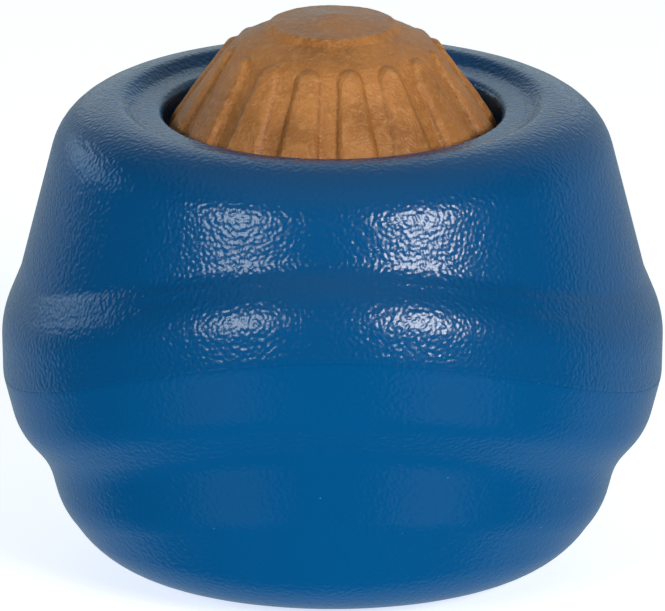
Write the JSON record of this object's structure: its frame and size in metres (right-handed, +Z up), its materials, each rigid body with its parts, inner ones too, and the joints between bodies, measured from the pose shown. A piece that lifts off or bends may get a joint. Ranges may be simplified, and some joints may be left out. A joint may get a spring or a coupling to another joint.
{
  "type": "treat ball",
  "caption": "Hollow moulded dog treat ball with a wavy waist and a rounded rim, and a fluted dome-shaped edible treat held by a soft lip in its mouth.",
  "frame": {"origin": "middle of the flat base", "axes": "+Z up along the ball's axis; -Y is the front, where the waist is highest; the waist is lowest at +X and -X"},
  "size_m": [0.1268, 0.1262, 0.1099],
  "materials": {
    "blue_elastomer": "orange-peel moulded, satin gloss",
    "baked_treat": "grainy, slightly glossy baked dough"
  },
  "bodies": {
    "ball": {"upper_shell": "blue_elastomer", "lower_shell": "blue_elastomer", "retaining_lip": "blue_elastomer"},
    "treat": {"treat": "baked_treat"}
  },
  "joints": [
    {"name": "treat_lift", "type": "slide", "parent": "ball", "child": "treat", "axis": [0, 0, 1], "range_m": [0, 0.04], "deforming": ["retaining_lip"]}
  ]
}
